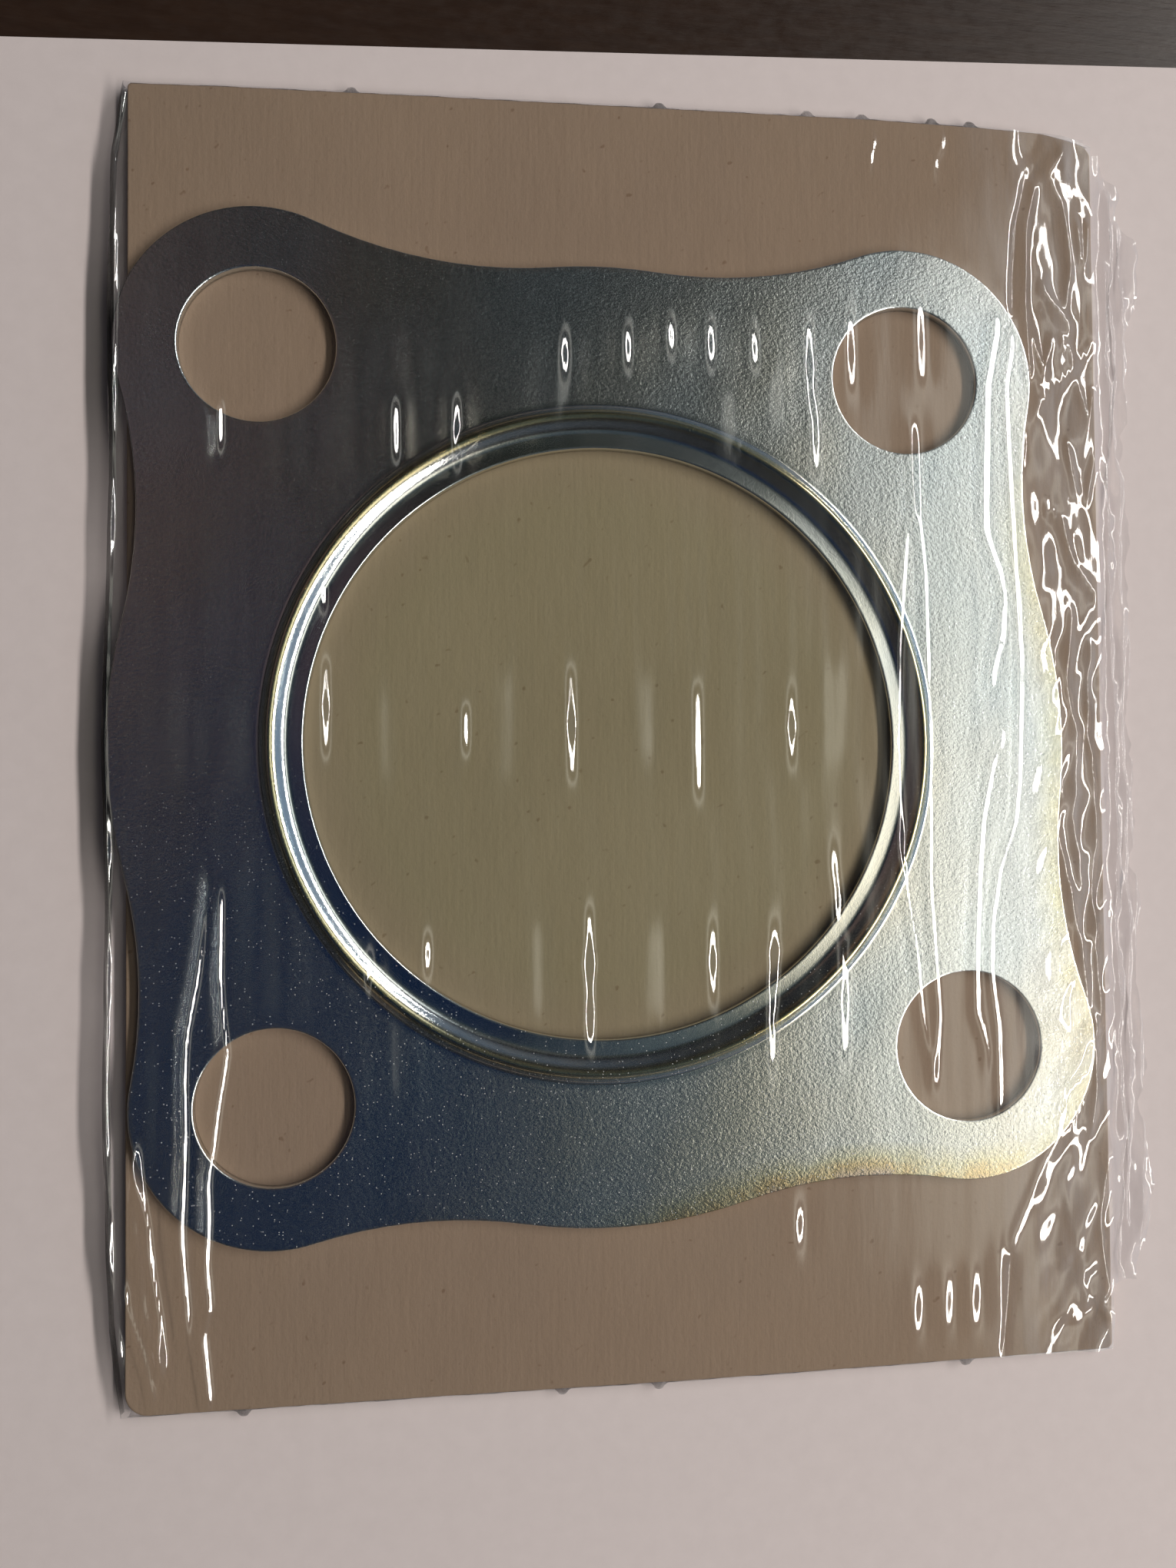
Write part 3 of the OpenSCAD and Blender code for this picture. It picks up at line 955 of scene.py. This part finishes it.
def zinc_tint(tree, wide):
    """The plate's colour: a faint yellow-blue tint, gold tarnish by the outline and on the bead's crest."""
    tint = ramp(tree, wide, [(0.32, (0.80, 0.88, 0.92)), (0.5, (0.88, 0.905, 0.895)),
                             (0.68, (0.92, 0.895, 0.80))])
    tarnish = tree.nodes.new("ShaderNodeAttribute")
    tarnish.attribute_name = EDGE_TARNISH
    patchy = noise(tree, (0.16, 0.16, 0.16), 3, 0.6)
    strong = math_node(tree, "MULTIPLY", tarnish.outputs["Fac"], map_range(tree, patchy, 0.3, 0.6, 0.3, 1))
    gold = ramp(tree, strong, [(0.0, (1, 1, 1)), (0.35, (1.0, 0.94, 0.74)), (0.7, (1.0, 0.80, 0.50)),
                               (1.0, (0.90, 0.72, 0.60))])
    tarnished = mix_colours(tree, 1, tint, gold, "MULTIPLY")
    crest = ramp(tree, map_range(tree, distance_from_bore(tree), 36, 42),
                 [(0.33, (1, 1, 1)), (0.40, (1.0, 0.88, 0.58)), (0.55, (1.0, 0.88, 0.58)), (0.62, (1, 1, 1))])
    return mix_colours(tree, 1, tarnished, crest, "MULTIPLY")


def zinc_normal(tree, grain, wide):
    """Rolled grain over slow waves, weak on the smooth bead."""
    fine = noise(tree, (8, 6, 7), 2, 0.5, turn_deg=-20)
    flat_part = map_range(tree, distance_from_bore(tree), *SMOOTH_R, 0.2, 1)
    height = math_node(tree, "MULTIPLY", math_node(tree, "SUBTRACT", grain, 0.5), flat_part)
    grained = bump(tree, height, 0.042, bump(tree, wide, 0.25))
    return bump(tree, fine, 0.006, grained)


def zinc_material():
    """Bright zinc on rolled sheet: leather-like grain, white specks of painted glint, most on the lower half.
    """
    material, tree = new_material("zinc_plated_steel")
    grain = noise(tree, (2.5, 3.5, 2.6), 2.5, 0.6, 0.15, turn_deg=8)
    wide = noise(tree, (0.045, 0.028, 0.04), 2, 0.5, turn_deg=20)
    # Painted glints: matt white specks that stand in for the grain's tiny glints, more of them low down
    share = map_range(tree, place_part(tree, "Y"), 0, -35, 0.15, 0.95)
    painted_glint = math_node(tree, "MULTIPLY", specks(tree, 2.1, 0.06, 0.45), share)
    smooth_bead = map_range(tree, distance_from_bore(tree), *SMOOTH_R, 0.55, 1)
    rough = map_range(tree, grain, 0.3, 0.7, 0.15, 0.22)
    show(tree, add_node(
        tree, "ShaderNodeBsdfPrincipled",
        Base_Color=mix_colours(tree, painted_glint, zinc_tint(tree, wide), (0.75, 0.75, 0.74, 1)),
        Metallic=math_node(tree, "SUBTRACT", 1, painted_glint),
        Roughness=math_node(tree, "MULTIPLY", rough, smooth_bead),
        Normal=zinc_normal(tree, grain, wide)))
    return material


def chipboard_material():
    """Uncoated grey-brown chipboard: upright fibres, small flecks and a soft mottle."""
    material, tree = new_material("chipboard")
    fibres = noise(tree, (2.2, 0.16, 3), 4, 0.6)
    mottle = noise(tree, (0.05, 0.035, 0.1), 3, 0.55)
    pulp = noise(tree, (1.6, 1.3, 6), 3, 0.6, turn_deg=15)
    flecks = noise(tree, (1.1, 0.8, 2), 1, 0.5, turn_deg=50)
    outer = ramp(tree, mottle, [(0.35, (0.348, 0.250, 0.176)), (0.65, (0.370, 0.266, 0.186))])
    # Greener towards the bore, fading out from 28 to 48 mm: painted greenish reflected light, not the card's
    # own colour
    painted_green_light = ramp(tree, mottle, [(0.35, (0.316, 0.266, 0.156)), (0.65, (0.338, 0.284, 0.168))])
    base = mix_colours(tree, map_range(tree, distance_from_bore(tree), 28, 48), painted_green_light, outer)
    streaks = ramp(tree, fibres, [(0.3, (0.96, 0.96, 0.96)), (0.7, (1.03, 1.03, 1.03))])
    dots = ramp(tree, flecks, [(0.72, (1, 1, 1)), (0.79, (0.76, 0.70, 0.65))])
    streaked = mix_colours(tree, 1, base, streaks, "MULTIPLY")
    show(tree, add_node(
        tree, "ShaderNodeBsdfPrincipled", Roughness=0.82, Specular_IOR_Level=0.25,
        Base_Color=mix_colours(tree, 1, streaked, dots, "MULTIPLY"),
        Normal=bump(tree, fibres, 0.03, bump(tree, pulp, 0.05))))
    return material


# Light that a film's two faces mirror straight on
FILM_SHINE = 0.085
# From where to where, along X, the film's haze grows
HAZE_GROWS = (44, 58)
# Share of the light that the folded left edge lets through: y, share
FOLDED_LAYERS = [(-75, 0.60), (-68, 0.28), (-60, 0.22), (-45, 0.35), (-30, 0.48), (-18, 0.35), (-8, 0.04),
                 (2, 0.02), (10, 0.12), (20, 0.55), (28, 0.35), (40, 0.02), (52, 0.04), (65, 0.20),
                 (75, 0.45)]


def film_shine(tree, normal):
    """The share of light that the film's two faces mirror, which grows at a grazing view."""
    tilt = add_node(tree, "ShaderNodeLayerWeight", Blend=0.5, Normal=normal)
    edge_on = math_node(tree, "POWER", tilt.outputs["Facing"], 5)
    return math_node(tree, "MULTIPLY_ADD", edge_on, 1 - FILM_SHINE, FILM_SHINE)


def film_material(name, haze, loose_haze, gloss_rough, milk_colour=(0.86, 0.84, 0.86), layers=None):
    """Clear shrink film: see-through, with the shine of its two faces and a trace of milky haze, which
    grows towards the loose film of the welded side. Where layers are folded together less light comes
    through: layers lists the share of it along Y."""
    material, tree = new_material(name)
    through = (0.985, 0.985, 0.99, 1)
    if layers:
        through = ramp(tree, map_range(tree, place_part(tree, "Y"), -80, 80),
                       [((y + 80) / 160, (share,) * 3) for y, share in layers])
    clear = add_node(tree, "ShaderNodeBsdfTransparent", Color=through)
    fine = noise(tree, (1.1, 0.12, 1), 3, 0.5)
    ripple = bump(tree, fine, 0.012)
    shine = add_node(tree, "ShaderNodeBsdfGlossy", Roughness=gloss_rough, Normal=ripple)
    milk = add_node(tree, "ShaderNodeBsdfDiffuse", Color=(*milk_colour, 1), Normal=ripple)
    cloud = noise(tree, (0.5, 0.09, 0.5), 4, 0.6)
    amount = map_range(tree, place_part(tree, "X"), *HAZE_GROWS, haze, loose_haze)
    veil = math_node(tree, "MULTIPLY", map_range(tree, cloud, 0.35, 0.75, 0.3, 1.7), amount)
    show(tree, mix_shaders(tree, film_shine(tree, ripple), mix_shaders(tree, veil, clear, milk), shine))
    return material


def paper_material():
    """The plain pale floor: matt paper."""
    material, tree = new_material("pale_paper")
    cloud = noise(tree, (0.4, 0.4, 0.4), 4, 0.6)
    show(tree, add_node(
        tree, "ShaderNodeBsdfPrincipled", Roughness=0.9, Specular_IOR_Level=0.2,
        Base_Color=ramp(tree, cloud, [(0.3, (0.755, 0.662, 0.650)), (0.7, (0.785, 0.690, 0.678))]),
        Normal=bump(tree, cloud, 0.02)))
    return material


def wood_material():
    """The dark table under the paper: brown wood with a worn satin finish."""
    material, tree = new_material("dark_wood")
    grain = noise(tree, (0.12, 0.9, 1), 4, 0.65, turn_deg=4)
    wear = noise(tree, (0.5, 0.7, 1), 3, 0.6)
    show(tree, add_node(
        tree, "ShaderNodeBsdfPrincipled",
        Base_Color=ramp(tree, grain, [(0.3, (0.026, 0.013, 0.008)), (0.7, (0.036, 0.019, 0.012))]),
        Roughness=map_range(tree, wear, 0.3, 0.7, 0.32, 0.46),
        Normal=bump(tree, grain, 0.08)))
    return material


# Stage

STAGE_SIZE = 4000
PAPER_T = 0.3
# The paper's upper edge: its height at the bore's centre line, and its slope
PAPER_EDGE_Y = 84.8
PAPER_EDGE_SLOPE = 0.036


def make_camera():
    """The camera that sees the pack as the viewer does, from almost straight above."""
    data = bpy.data.cameras.new("camera")
    data.sensor_fit = "VERTICAL"
    data.sensor_height = CAMERA_SENSOR
    data.lens = CAMERA_LENS
    data.clip_start = 0.005
    camera = link_object("camera", data)
    at = Vector(CAMERA_AT) * MM
    forward = (Vector(CAMERA_LOOKS_AT) * MM - at).normalized()
    right = forward.cross(Vector((0, 1, 0))).normalized()
    up = right.cross(forward)
    turned = Matrix((right, up, -forward)).transposed().to_4x4()
    roll = Matrix.Rotation(math.radians(CAMERA_ROLL_DEG), 4, "Z")
    camera.matrix_world = Matrix.Translation(at) @ turned @ roll
    bpy.context.scene.camera = camera


def make_lamp(name, y, length, radiance, colour):
    """A flat lamp that shines straight down, of a given radiance."""
    data = bpy.data.lights.new(name, "AREA")
    data.shape = "RECTANGLE"
    data.size = LAMP_W * MM
    data.size_y = length * MM
    data.energy = radiance * math.pi * data.size * data.size_y
    data.color = colour
    lamp = link_object(name, data)
    lamp.location = Vector((KEY_X, y, LAMP_Z)) * MM


# Light of the room by direction, from the left (0) to the right (1): the ceiling up the card from the
# viewer in two steps, the ceiling near the viewer, and what lies lower; then the ceiling far aside
FAR_CEILING = [
    (0.35, (0.085, 0.064, 0.070)), (0.385, (0.070, 0.049, 0.058)), (0.465, (0.011, 0.013, 0.017)),
    (0.53, (0.020, 0.027, 0.024)), (0.59, (0.060, 0.066, 0.064)), (0.633, (0.15, 0.17, 0.165)),
    (0.67, (0.28, 0.305, 0.29)), (0.70, (0.60, 0.63, 0.58)), (0.7225, (1.75, 1.76, 1.57)),
    (0.75, (1.80, 1.76, 1.52)), (0.775, (0.50, 0.50, 0.48)), (0.81, (0.03, 0.03, 0.03))]
FARTHEST_CEILING = [
    (0.35, (0.120, 0.085, 0.080)), (0.385, (0.096, 0.068, 0.060)), (0.411, (0.055, 0.037, 0.029)),
    (0.433, (0.042, 0.031, 0.025)), (0.475, (0.015, 0.016, 0.015)), (0.53, (0.019, 0.026, 0.023)),
    (0.59, (0.060, 0.065, 0.063)), (0.62, (0.048, 0.053, 0.050)), (0.645, (0.080, 0.090, 0.086)),
    (0.67, (0.31, 0.34, 0.325)), (0.70, (1.85, 1.89, 1.77)), (0.75, (2.20, 2.16, 1.96)),
    (0.775, (0.50, 0.50, 0.48)), (0.81, (0.03, 0.03, 0.03))]
NEAR_CEILING = [
    (0.28, (0.035, 0.032, 0.032)), (0.35, (0.016, 0.026, 0.050)), (0.43, (0.002, 0.012, 0.044)),
    (0.49, (0.008, 0.018, 0.046)), (0.545, (0.036, 0.054, 0.070)), (0.578, (0.062, 0.087, 0.104)),
    (0.605, (0.095, 0.124, 0.129)), (0.633, (0.120, 0.145, 0.140)), (0.66, (0.37, 0.39, 0.35)),
    (0.70, (1.50, 1.48, 1.28)), (0.74, (2.45, 2.36, 2.05)), (0.775, (0.60, 0.60, 0.58)),
    (0.81, (0.03, 0.03, 0.03))]
LOWER_WALLS = [
    (0.1, (0.012, 0.012, 0.013)), (0.45, (0.030, 0.032, 0.036)), (0.75, (0.14, 0.18, 0.23)),
    (0.95, (0.26, 0.38, 0.52))]
CEILING_ASIDE = (0.020, 0.021, 0.023, 1)
ROOM_STRENGTH = 0.74


def make_world():
    """A dim ceiling with a band that brightens to the right, over dark walls and a pale one."""
    world = bpy.data.worlds.new("studio")
    bpy.context.scene.world = world
    world.use_nodes = True
    tree = world.node_tree
    tree.nodes.clear()
    source = tree.nodes.new("ShaderNodeTexCoord")
    parts = add_node(tree, "ShaderNodeSeparateXYZ", Vector=source.outputs["Generated"])
    rightness = map_range(tree, parts.outputs["X"], -1, 1)
    near, far, farthest, lower = (ramp(tree, rightness, stops) for stops in (
        NEAR_CEILING, FAR_CEILING, FARTHEST_CEILING, LOWER_WALLS))
    upper = mix_colours(tree, map_range(tree, parts.outputs["Y"], -0.10, 0.20), near, far)
    upper = mix_colours(tree, map_range(tree, parts.outputs["Y"], 0.25, 0.40), upper, farthest)
    aside = math_node(tree, "ABSOLUTE", parts.outputs["Y"])
    upper = mix_colours(tree, map_range(tree, aside, 0.42, 0.55), upper, CEILING_ASIDE)
    height = map_range(tree, parts.outputs["Z"], 0.45, 0.75)
    background = add_node(tree, "ShaderNodeBackground", Strength=ROOM_STRENGTH,
                          Color=mix_colours(tree, height, lower, upper))
    add_node(tree, "ShaderNodeOutputWorld", Surface=background.outputs["Background"])


def make_plane(name, corners, z, material):
    """A flat part of the stage."""
    mesh = bpy.data.meshes.new(name)
    mesh.from_pydata([(x * MM, y * MM, z * MM) for x, y in corners], [], [(0, 1, 2, 3)])
    mesh.materials.append(material)
    plane = link_object(name, mesh)


def make_floor(paper, wood):
    """The sheet of paper that the pack lies on, and the dark table past the paper's upper edge."""
    size = STAGE_SIZE
    left, right = (PAPER_EDGE_Y + PAPER_EDGE_SLOPE * x for x in (-size, size))
    make_plane("floor", [(-size, -size), (size, -size), (size, right), (-size, left)], 0, paper)
    make_plane("table", [(-size, -size), (size, -size), (size, size), (-size, size)], -PAPER_T, wood)


def main():
    """Builds the stage and the eight pieces."""
    make_camera()
    bpy.context.scene.view_settings.view_transform = "Standard"
    make_world()
    make_floor(paper_material(), wood_material())
    for lamp in LAMPS:
        make_lamp(*lamp)
    make_gasket(zinc_material())
    make_card(chipboard_material())
    tight = film_material("tight_film", haze=0.006, loose_haze=0.17, gloss_rough=0.07)
    folded = film_material("folded_film", haze=0.05, loose_haze=0.05, gloss_rough=0.07,
                           milk_colour=(0.55, 0.47, 0.43), layers=FOLDED_LAYERS)
    loose = film_material("loose_film", haze=0.03, loose_haze=0.07, gloss_rough=0.08)
    melted = film_material("melted_film", haze=0.45, loose_haze=0.45, gloss_rough=0.15,
                           milk_colour=(0.14, 0.13, 0.125))
    front, x, y, z = make_front_web(tight)
    wrap = make_left_wrap(folded, x, y, z)
    back = make_back_web(loose)
    flange_rows = np.linspace(SEAL_LOW[1], SEAL_HIGH[1], FLANGE_ROWS)
    flange = make_side_flange(loose, np.interp(flange_rows, y[:, -1], z[:, -1]))
    make_trim("film_top_trim", "top_seal", melted, 1)
    make_trim("film_bottom_trim", "bottom_seal", melted, -1)


main()
